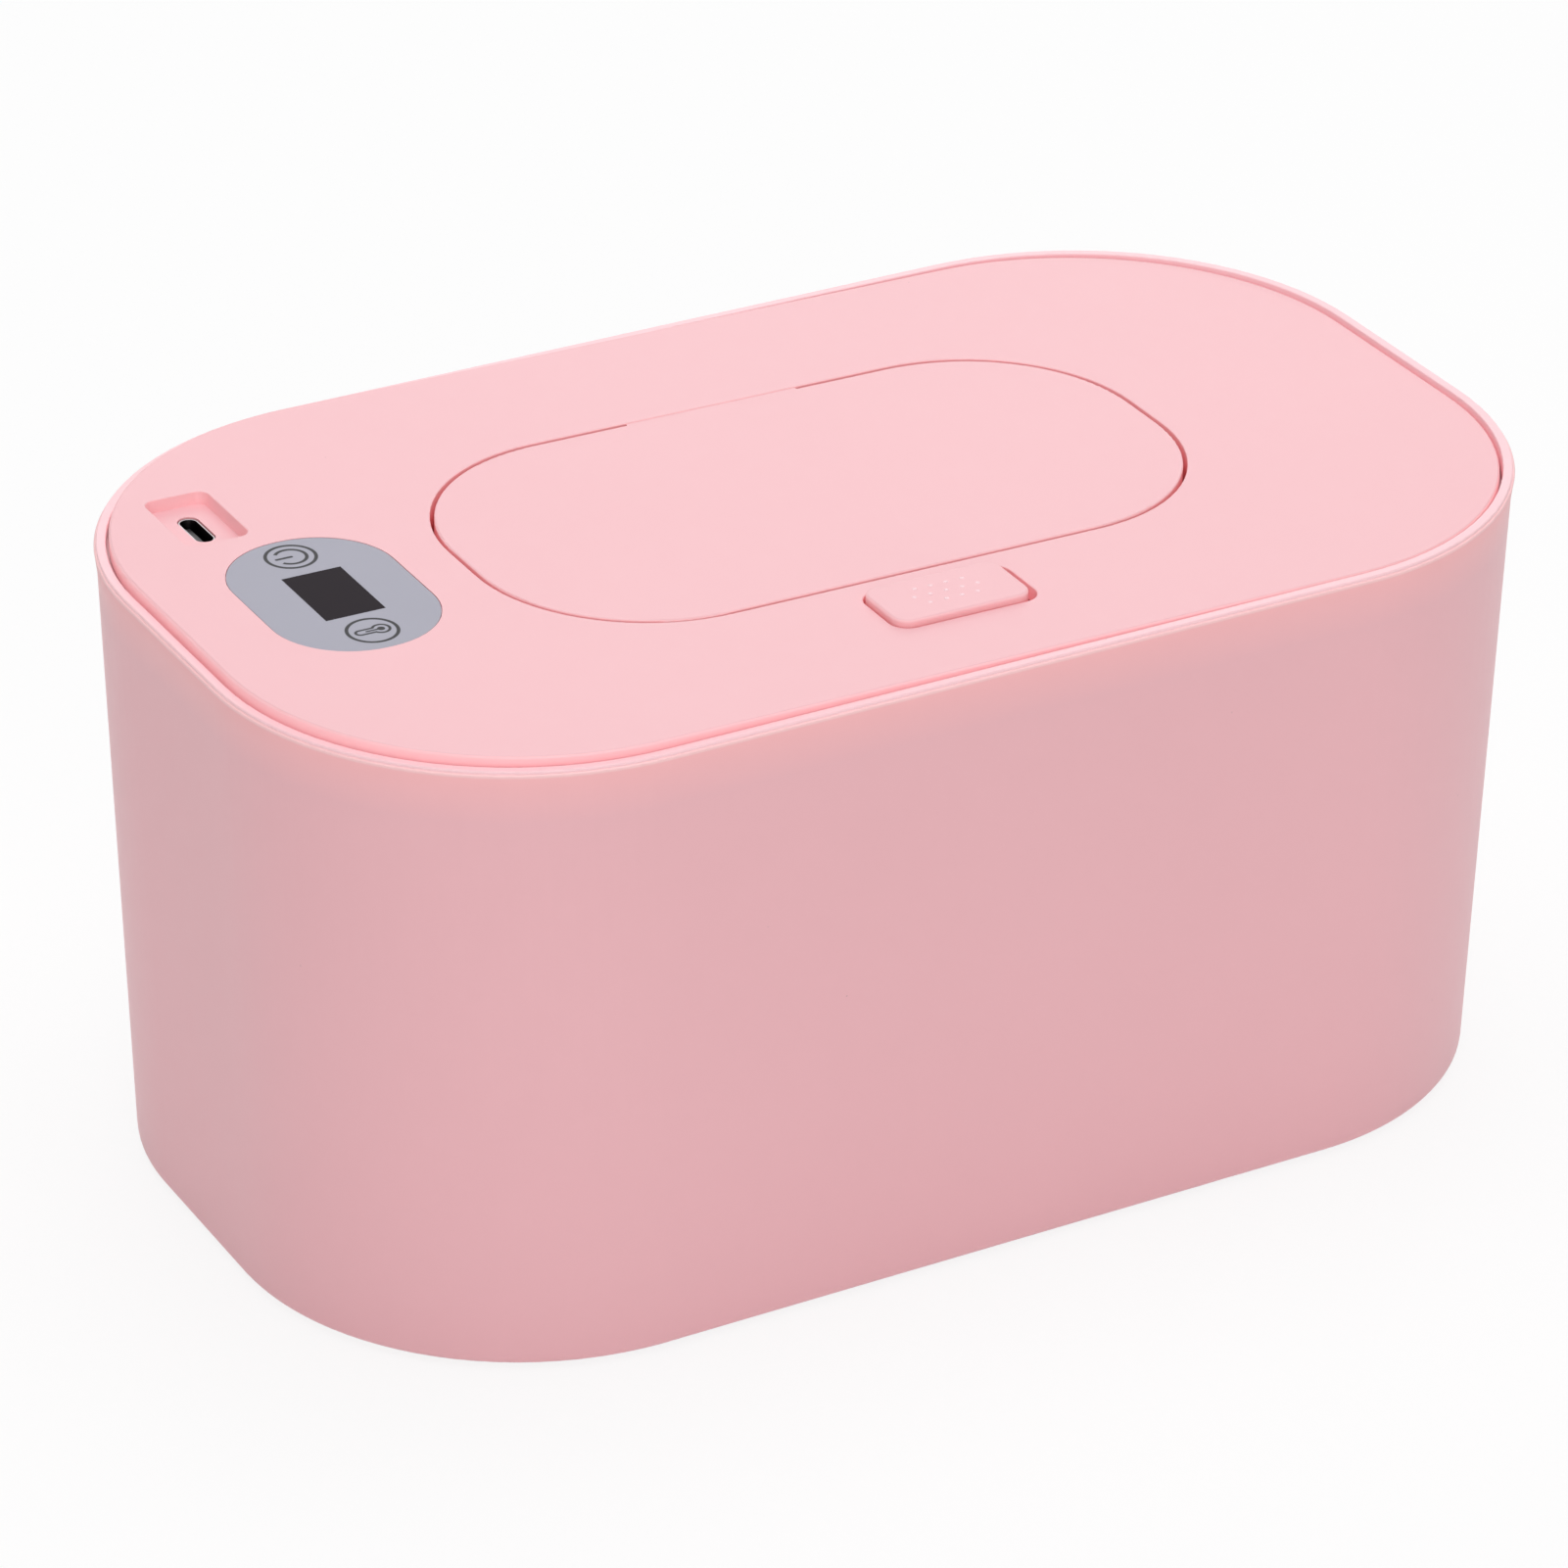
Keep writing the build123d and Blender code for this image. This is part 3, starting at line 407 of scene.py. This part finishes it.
# The foot's profile as radius and height: grooved sole, rounded edge, and the pocket on top
# that takes the screw's head
sole = [(0, 0), (2.3, 0), (2.5, 0.3), (2.9, 0.3), (3.1, 0), (4.4, 0), (4.6, 0.3), (5.0, 0.3)]
edge = [(5.2, 0), (6.5, 0), (6.8, 0.12), (7, 0.45), (7, 1.8), (2.9, 1.8), (2.9, 0.9), (0, 0.9)]
foot_radius, foot_height = np.array(sole + edge).T
turn = np.linspace(0, 2 * np.pi, 96, endpoint=False)
centre = np.array(foot_places, float)[:, None, None]
ring = np.stack((np.cos(turn), np.sin(turn)), -1)
around = centre + foot_radius[:, None, None] * ring
upright = np.broadcast_to(foot_height[:, None, None], (*around.shape[:3], 1))
points = MM * np.concatenate((around, upright), -1)
surface("feet", points, rubber.material, "base", "grey_rubber", "rubber_feet")

# ---------------------------------------------------------------- top cover
# The heated cover's upper half: the deck, the lid's well, the recess of the
# panel and the pocket of the inlet, moulded in one piece of the same pink.
def edge_painted_glow(finish):
    """The share of a painted glow, a lighter pink painted into edges and into the walls of gaps:
    nought on level faces.
    """
    return within((finish.steepness() - 0.03) * 4.0, 0, 1)


def gap_painted_glow(finish):
    """A painted red glow, emitted from the steep walls of the gaps, stronger round the deck's outer
    edge.

    The outer edge is where the distance from the middle of the rim's corners and straight
    sides passes the corner radius less 4 mm.
    """
    beyond = [
        (abs(finish.axis(finish.place, axis)) / MM - float(straight_half[axis])).math("MAXIMUM", 0)
        for axis in (0, 1)
    ]
    distance = (beyond[0] * beyond[0] + beyond[1] * beyond[1]).math("SQRT")
    inner_wall_glow, outer_edge_glow = (0.045, 0.0, 0.0, 1), (0.18, 0.075, 0.08, 1)
    hue = finish.shades(distance > corner_radius - 4.0, inner_wall_glow, outer_edge_glow)
    steep = within((finish.steepness() - 0.15) * 2.0, 0, 1)
    return finish.shades(steep, (0, 0, 0, 1), hue)


# The cover's pink has a painted glow in its edges and a painted red emission in its gaps.
pink_cover = moulded("pink_cover", *pink, glow=((edge_painted_glow, (254, 200, 204)),), lit=gap_painted_glow)
dress(node["top_cover"], pink_cover)

# ---------------------------------------------------------------- cover seal and lid gasket
# Soft silicone rings, milky and a little see-through, moulded flat and
# stretched into their grooves.
silicone = Finish("milky_silicone", Specular_IOR_Level=0.4)
silicone.set("Subsurface Weight", 0.3)
silicone.set("Subsurface Scale", 2.0 * MM)
milk = silicone.shades(silicone.noise(12.0, 3.0), colour(214, 214, 210), colour(232, 231, 227))
silicone.set("Base Color", milk)
silicone.set("Roughness", silicone.noise(2.0, 3.0) * 0.15 + 0.42)
silicone.bump(silicone.noise(0.6, 2.0), 0.01)
dress(node["cover_seal"], silicone.material)

# ---------------------------------------------------------------- inner cover
# The plate that closes the cover from below, with the chimney round the
# dispensing opening and the heater's frame, moulded in white polypropylene.
white = moulded("white_plastic", 236, 234, 230, 0.5, 0.006)
dress(node["inner_cover"], white)


# ---------------------------------------------------------------- screws of the inner cover
# Six zinc-plated self-tapping screws that draw the inner cover up against the
# bosses of the top cover.
def on_deck(x, y, depth):
    """Points given along the sloping deck, across it and down from it, as places in metres.

    The deck falls by 0.6 degrees towards +X, and its middle is 102.5 mm above the table.
    """
    fall, deck_height = math.radians(0.6), 102.5
    along, across, below = np.broadcast_arrays(x, y, depth)
    level_x = along * math.cos(fall) - below * math.sin(fall)
    level_z = deck_height - along * math.sin(fall) - below * math.cos(fall)
    return MM * np.stack((level_x, across, level_z), -1)


cover_places = [(x, y) for x in (-52, 52) for y in (-44, 44)] + [(86, -18), (86, 18)]
x, y, outward = screws(cover_places, 4.8, 1.4, 2.4, 9.0)
plate_underside = 16.8
points = on_deck(x, y, plate_underside + outward)
surface("plate_screws", points, zinc.material, "cover", "steel", "cover_screws")

# ---------------------------------------------------------------- silicone membrane
# The slotted membrane that holds the next wipe up and keeps the warmth in,
# clamped between the two halves of the cover.
dress(node["orifice_membrane"], silicone.material)

# ---------------------------------------------------------------- heater
# A foam pad, a film with an etched copper track between two amber sheets, and
# the thin aluminium plate that spreads the warmth over the wipes.
pad = Finish("grey_foam", Roughness=0.95, Specular_IOR_Level=0.2)
cell = pad.cells(0.5)
pad.set("Base Color", pad.shades(cell, colour(86, 86, 88), colour(122, 122, 124)))
pad.bump(cell, 0.12)
dress(node["heater_foam"], pad.material)

film = Finish("heating_film", Roughness=0.28, Coat_Weight=0.5, Coat_Roughness=0.1)
track_pitch = 4.4 * MM
track = (film.axis(film.place, 1) * (2 * math.pi / track_pitch)).math("SINE")
copper = track > 0.1
film.set("Base Color", film.shades(copper, colour(178, 104, 32), colour(206, 134, 82)))
film.set("Metallic", copper * 0.5)
film.bump(copper, 0.02)
dress(node["heating_film"], film.material)

aluminium = Finish("rolled_aluminium", Metallic=1.0)
rolled = aluminium.add(
    "ShaderNodeTexNoise", Vector=aluminium.stretched(30.0, 0.25, 0.25), Scale=1.0, Detail=4.0
)
aluminium.set("Base Color", aluminium.shades(rolled, colour(196, 198, 200), colour(222, 223, 225)))
aluminium.set("Roughness", rolled * 0.22 + 0.24)
aluminium.bump(rolled, 0.01)
dress(node["heat_plate"], aluminium.material)

# ---------------------------------------------------------------- thermistor and thermal fuse
# The bead that reads the film's temperature, dipped in dark epoxy, and the
# cut-out beside it in its ceramic sleeve.
bead = Finish("dark_epoxy", Roughness=0.3, Coat_Weight=0.4)
bead.set("Base Color", bead.shades(bead.noise(1.5, 3.0), colour(24, 24, 26), colour(44, 42, 40)))
bead.bump(bead.noise(1.0, 3.0), 0.05)
dress(node["thermistor"], bead.material)
sleeve = Finish("ceramic_sleeve", Roughness=0.6)
clay = sleeve.shades(sleeve.noise(1.0, 4.0), colour(206, 200, 188), colour(228, 224, 214))
sleeve.set("Base Color", clay)
sleeve.bump(sleeve.noise(0.2, 3.0), 0.02)
dress(node["thermal_fuse"], sleeve.material)

# ---------------------------------------------------------------- circuit board
# Glass-fibre board under a green solder mask, with copper tracks that show
# through it as paler lines.  Three small screws hold it to its posts.
board = Finish("circuit_board", Coat_Weight=0.6, Coat_Roughness=0.15)
lanes = board.add(
    "ShaderNodeTexBrick",
    {"offset": 0.5, "squash": 2.0, "squash_frequency": 3},
    output=1,
    Vector=board.stretched(1.0, 1.0, 1.0),
    Scale=0.35,
    Mortar_Size=0.06,
    Mortar_Smooth=0.2,
    Brick_Width=1.7,
    Row_Height=0.6,
)
board.set("Base Color", board.shades(lanes, colour(16, 84, 48), colour(52, 128, 78)))
board.set("Roughness", board.noise(3.0, 2.0) * 0.1 + 0.35)
board.bump(lanes, 0.03)
dress(node["control_board"], board.material)
board_places = [(-65.99, 31.0), (-65.99, -31.0), (-92.6, -8.0)]
board_underside = 10.6
x, y, outward = screws(board_places, 3.8, 1.3, 2.0, 6.0, 0.7)
points = on_deck(x, y, board_underside + outward)
surface("small_screws", points, zinc.material, "cover", "steel", "board_screws")

# ---------------------------------------------------------------- parts on the board
# The film's connector in white, and the display and the two switches in black
# plastic, soldered to the board.
dress(node["heater_connector"], white)
black = moulded("black_plastic", 26, 26, 28, 0.38)
dress(node["tact_switches"], black)
dress(node["display_module"], black)

# ---------------------------------------------------------------- charging inlet
# A small oblong receptacle standing on the board: a nickel-plated steel shell and a
# black insulator whose tongue carries gold contacts on both faces.
nickel = Finish("nickel_plate", Metallic=1.0)
# Below the rim the shell's inside is painted near black: painted shade in the deep slot.
rim_foot = 101.26 * MM
inside = nickel.axis(nickel.place, 2) < rim_foot
nickel.set("Base Color", nickel.shades(inside, colour(172, 168, 170), colour(30, 28, 30)))
nickel.set("Roughness", nickel.noise(0.8, 3.0) * 0.15 + 0.25)
nickel.bump(nickel.noise(0.3), 0.005)
dress(node["inlet_tongue"], black)


def slot_tube(x, y, length, width, wall, top, bottom):
    """A drawn tube of oblong section: a circle whose halves are pulled apart along Y.

    Its rows run down the outside, across the foot, up the inside and over the rounded rim.
    """
    turn = np.linspace(0, 2 * np.pi, 64, endpoint=False)
    across = np.array([0, 0, wall, wall, 0.85 * wall, 0.5 * wall, 0.15 * wall, 0])
    depth = np.array([top + 0.1, bottom, bottom, top + 0.1, top + 0.03, top, top + 0.03, top + 0.1])
    radius = (width / 2 - across)[:, None]
    along = radius * np.sin(turn) + np.sign(np.sin(turn)) * (length - width) / 2
    return x + radius * np.cos(turn), y + along, np.broadcast_to(depth[:, None], along.shape)


inlet_x, inlet_y = -87.95, 33.0
x, y, depth = slot_tube(inlet_x, inlet_y, 8.94, 3.26, wall=0.3, top=2.1, bottom=9.0)
points = on_deck(x, y, depth)[None]
surface("inlet_tube", points, nickel.material, "cover", "steel", "inlet_shell")


def blocks(centres, sizes):
    """Boxes as closed rings: four corners low and four high, with both ends drawn to a point."""
    corner = np.array([(-1, -1), (1, -1), (1, 1), (-1, 1)]) / 2
    level = np.array([(0, -0.5), (1, -0.5), (1, 0.5), (0, 0.5)])
    shape = np.empty((4, 4, 3))
    shape[..., :2] = level[:, None, :1] * corner
    shape[..., 2] = level[:, 1:]
    return np.array(centres, float)[:, None, None] + shape * np.array(sizes, float)


gold = Finish("gold_plate", Metallic=1.0, Roughness=0.25)
gold.set("Base Color", gold.shades(gold.noise(0.5), colour(226, 184, 96), colour(240, 204, 124)))
contact_pitch, off_tongue, contact_depth = 0.5, 0.36, 5.0
along_row = inlet_y + contact_pitch * (np.arange(12) - 5.5)
centres = [(inlet_x + side * off_tongue, y, contact_depth) for side in (-1, 1) for y in along_row]
x, y, depth = np.moveaxis(blocks(centres, (0.04, 0.26, 3.0)), -1, 0)
surface("contacts", on_deck(x, y, depth), gold.material, "cover", "steel")

# ---------------------------------------------------------------- display window
# A smoked acrylic window with polished faces, flush with the sheet round it.
smoked = Finish("smoked_acrylic", Specular_IOR_Level=0.02)
smoked.set("Base Color", smoked.shades(smoked.noise(6.0), colour(24, 14, 23), colour(29, 18, 27)))
smoked.set("Roughness", smoked.noise(1.5, 3.0) * 0.05 + 0.22)
dress(node["display_window"], smoked.material)

# ---------------------------------------------------------------- control sheet
# A grey polycarbonate sheet, printed in black with the on-off sign and a
# thermometer, each in its ring over a key.
sheet = Finish("printed_sheet", Specular_IOR_Level=0.15)
along, across = (sheet.axis(sheet.place, axis) / MM for axis in (0, 1))


def reach(x, y, x_end=None):
    """Distance in millimetres from a point, or from the line from it along X to x_end."""
    beside = along - within(along, x, x_end) if x_end else along - x
    return (beside * beside + (across - y) * (across - y)).math("SQRT")


def joined(*distances):
    """The nearest of several shapes: the least of their distances."""
    nearest = distances[0]
    for other in distances[1:]:
        nearest = nearest.math("MINIMUM", other)
    return nearest


# On-off: a ring, a bar from its middle upwards, and an arc that is open for 38 degrees on
# either side of the bar.  A stroke is given by half its width.
ring_radius, stroke = 3.8, 0.28
middle = reach(-80.86, 14.78)
opening = middle * math.cos(math.radians(38)) + (along + 80.86)
on_off = joined(
    abs(middle - ring_radius) - stroke,
    reach(-83.2, 14.72, -80.8) - stroke,
    abs(middle - 2.4).math("MAXIMUM", stroke - opening) - stroke,
)
# Thermometer: a ring, the outline of a tube that runs into a bulb, and the column inside
bulb = reach(-79.25, -12.61)
glass = joined(bulb - 1.3, reach(-82.6, -12.61, -79.25) - 0.7)
thermometer = joined(
    abs(reach(-80.64, -12.61) - ring_radius) - stroke,
    abs(glass) - 0.22,
    bulb - 0.6,
    reach(-81.6, -12.61, -79.25) - 0.2,
)
soft_edge = 0.1
ink = within(0.5 - joined(on_off, thermometer) / soft_edge, 0, 1)
paint = sheet.shades(sheet.noise(14.0, 3.0), colour(163, 162, 175), colour(167, 166, 179))
sheet.set("Base Color", sheet.shades(ink, paint, colour(14, 14, 20)))
sheet.set("Roughness", sheet.noise(0.8, 3.0) * 0.1 + 0.36)
sheet.bump(sheet.noise(0.25, 2.0) + ink * 2.0, 0.003)
dress(node["control_overlay"], sheet.material)

# ---------------------------------------------------------------- keys
# Two grey plungers under the sheet, which carry a finger's push to the switches.
grey = moulded("grey_plastic", 150, 150, 156, 0.5)
dress(node["power_key"], grey)
dress(node["temperature_key"], grey)

# ---------------------------------------------------------------- lid
# The flip lid, moulded with the cover in one shot: a thin web along its rear
# edge is the hinge, and a milky gasket sits round the rib underneath.
dress(node["flip_lid"], pink_cover)
dress(node["lid_hinge_web"], pink_cover)
dress(node["lid_gasket"], silicone.material)

# ---------------------------------------------------------------- latch button
# The button that frees the lid, moulded in the cover's pink, with three rows
# of low round grip dots on its cap.
dress(node["latch_button"], pink_cover)


def dots(places, radius, height, sunk):
    """Low domes: height times one minus the squared share of the radius, closed underneath."""
    share = np.concatenate(([0], np.linspace(1, 0, 9)))
    rise = np.where(share < 1, height * (1 - share**2), -sunk)
    rise[0] = -sunk
    turn = np.linspace(0, 2 * np.pi, 28, endpoint=False)
    ring = radius * share[:, None, None] * np.stack((np.cos(turn), np.sin(turn)), -1)
    centre = np.array(places, float)[:, None, None]
    flat = centre + ring
    return flat[..., 0], flat[..., 1], np.broadcast_to(rise[:, None], flat.shape[:3])


# The dots' pink is paler than the cover's: a painted highlight.
polished = moulded("polished_highlight_pink", 252, 211, 217, 0.24, 0.001)
rows, dot_pitch, cap_x, cap_proud = ((-38.7, 4), (-41.1, 5), (-43.5, 4)), 2.69, -0.42, 1.0
grip = [(cap_x + dot_pitch * (k - (count - 1) / 2), y) for y, count in rows for k in range(count)]
x, y, rise = dots(grip, radius=0.42, height=0.1, sunk=0.05)
surface("grip_dots", on_deck(x, y, -cap_proud - rise), polished, "latch_button", "pink_cover")

# ---------------------------------------------------------------- latch lever, pin and spring
# The acetal lever whose nose holds the lid's striker, turning on a ground
# steel pin, and the spring-steel coil that returns lever and button.
acetal = moulded("white_acetal", 240, 239, 234, 0.36, 0.003)
dress(node["latch_lever"], acetal)
ground = Finish("ground_steel", Metallic=1.0)
scratch = ground.add(
    "ShaderNodeTexNoise", Vector=ground.stretched(0.08, 2.0, 2.0), Scale=1.0, Detail=3.0
)
ground.set("Base Color", ground.shades(scratch, colour(176, 176, 180), colour(206, 206, 210)))
ground.set("Roughness", scratch * 0.2 + 0.16)
dress(node["lever_pin"], ground.material)
spring = Finish("spring_steel", Metallic=1.0)
drawn_wire = spring.shades(spring.noise(0.6), colour(146, 146, 152), colour(186, 186, 190))
spring.set("Base Color", drawn_wire)
spring.set("Roughness", spring.noise(0.4, 3.0) * 0.15 + 0.26)


def coil(x, y, foot, height, radius, wire, turns):
    """A wire wound round an upright axis: rows follow the helix, columns go round the wire.

    The wire's middle climbs evenly with the angle, and both ends close to a point.
    """
    angle = np.linspace(0, 2 * np.pi * turns, 36 * turns + 1)
    angle = np.concatenate((angle[:1], angle, angle[-1:]))[:, None]
    size = np.ones_like(angle) * wire / 2
    size[[0, -1]] = 0
    turn = np.linspace(0, 2 * np.pi, 10, endpoint=False)
    away = radius + size * np.cos(turn)
    climb = height * angle / (2 * np.pi * turns)
    return x + away * np.cos(angle), y + away * np.sin(angle), foot - climb - size * np.sin(turn)


spring_y, spring_foot, wire = -41.045, 15.0, 0.5
first_turn = spring_foot - wire / 2
x, y, depth = coil(0.0, spring_y, first_turn, height=3.4, radius=1.95, wire=wire, turns=3)
points = on_deck(x, y, depth)[None]
return_spring = surface("return_spring", points, spring.material, "cover", "steel", "latch_spring")
anchor = tuple(on_deck(0.0, spring_y, spring_foot))
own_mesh(return_spring)

# ---------------------------------------------------------------- light
# A bright, even studio: a white surround, a wide softbox overhead, and a
# smaller one that faces the corner between control end and button side.
bpy.context.scene.view_settings.view_transform = "Standard"


def on_camera(tree):
    """One for rays straight from the camera, or by a mirror or glass from it, else nought."""
    camera_ray, mirror_ray, glass_ray = (
        add_node(tree, "ShaderNodeLightPath", output=f"Is {kind} Ray")
        for kind in ("Camera", "Glossy", "Transmission")
    )
    return within(camera_ray + mirror_ray + glass_ray, 0, 1)


world = bpy.data.worlds.new("studio")
world.use_nodes = True
bpy.context.scene.world = world
surround = world.node_tree.nodes["Background"]
surround.inputs["Color"].default_value = (1, 1, 1, 1)
light_share = 0.35
shown = on_camera(world.node_tree)
plug(surround.inputs["Strength"], shown * (1 - light_share) + light_share)


def softbox(name, place, aim, size, power):
    """A square area lamp aimed at a point, all in metres."""
    lamp = bpy.data.lights.new(name, "AREA")
    lamp.size = size
    lamp.energy = power
    box = bpy.data.objects.new(name, lamp)
    box.location = place
    box.rotation_euler = (Vector(aim) - Vector(place)).to_track_quat("-Z", "Y").to_euler()
    bpy.context.scene.collection.objects.link(box)


softbox("overhead", (0.1, 0.1, 1.5), (0, 0, 0.05), 1.2, 12.4)
softbox("key", (-0.698, -1.643, 0.65), (0, 0, 0.05), 0.9, 8.9)
softbox("back", (0.857, 1.537, 0.95), (0, 0, 0.05), 1.2, 5.4)

# ---------------------------------------------------------------- floor
# White paper, lifted towards pure white for the camera, that keeps the tub's
# soft shadow.
half, under_feet = 4.0, -0.05 * MM
corners = [(x * half, y * half, under_feet) for x, y in ((-1, -1), (1, -1), (1, 1), (-1, 1))]
sweep = bpy.data.meshes.new("floor")
sweep.from_pydata(corners, [], [(0, 1, 2, 3)])
floor = bpy.data.objects.new("floor", sweep)
bpy.context.scene.collection.objects.link(floor)
paper = Finish("floor_paper", Roughness=0.9, Base_Color=(0.95, 0.95, 0.95, 1))
glow = paper.add("ShaderNodeEmission", Color=(1, 1, 1, 1), Strength=1.0)
bare = Value(paper.shader.outputs[0])
lifted = paper.add("ShaderNodeMixShader", i0=on_camera(paper.tree) * 0.85, i1=bare, i2=glow)
plug(paper.tree.nodes["Material Output"].inputs["Surface"], lifted)
dress(floor, paper.material)
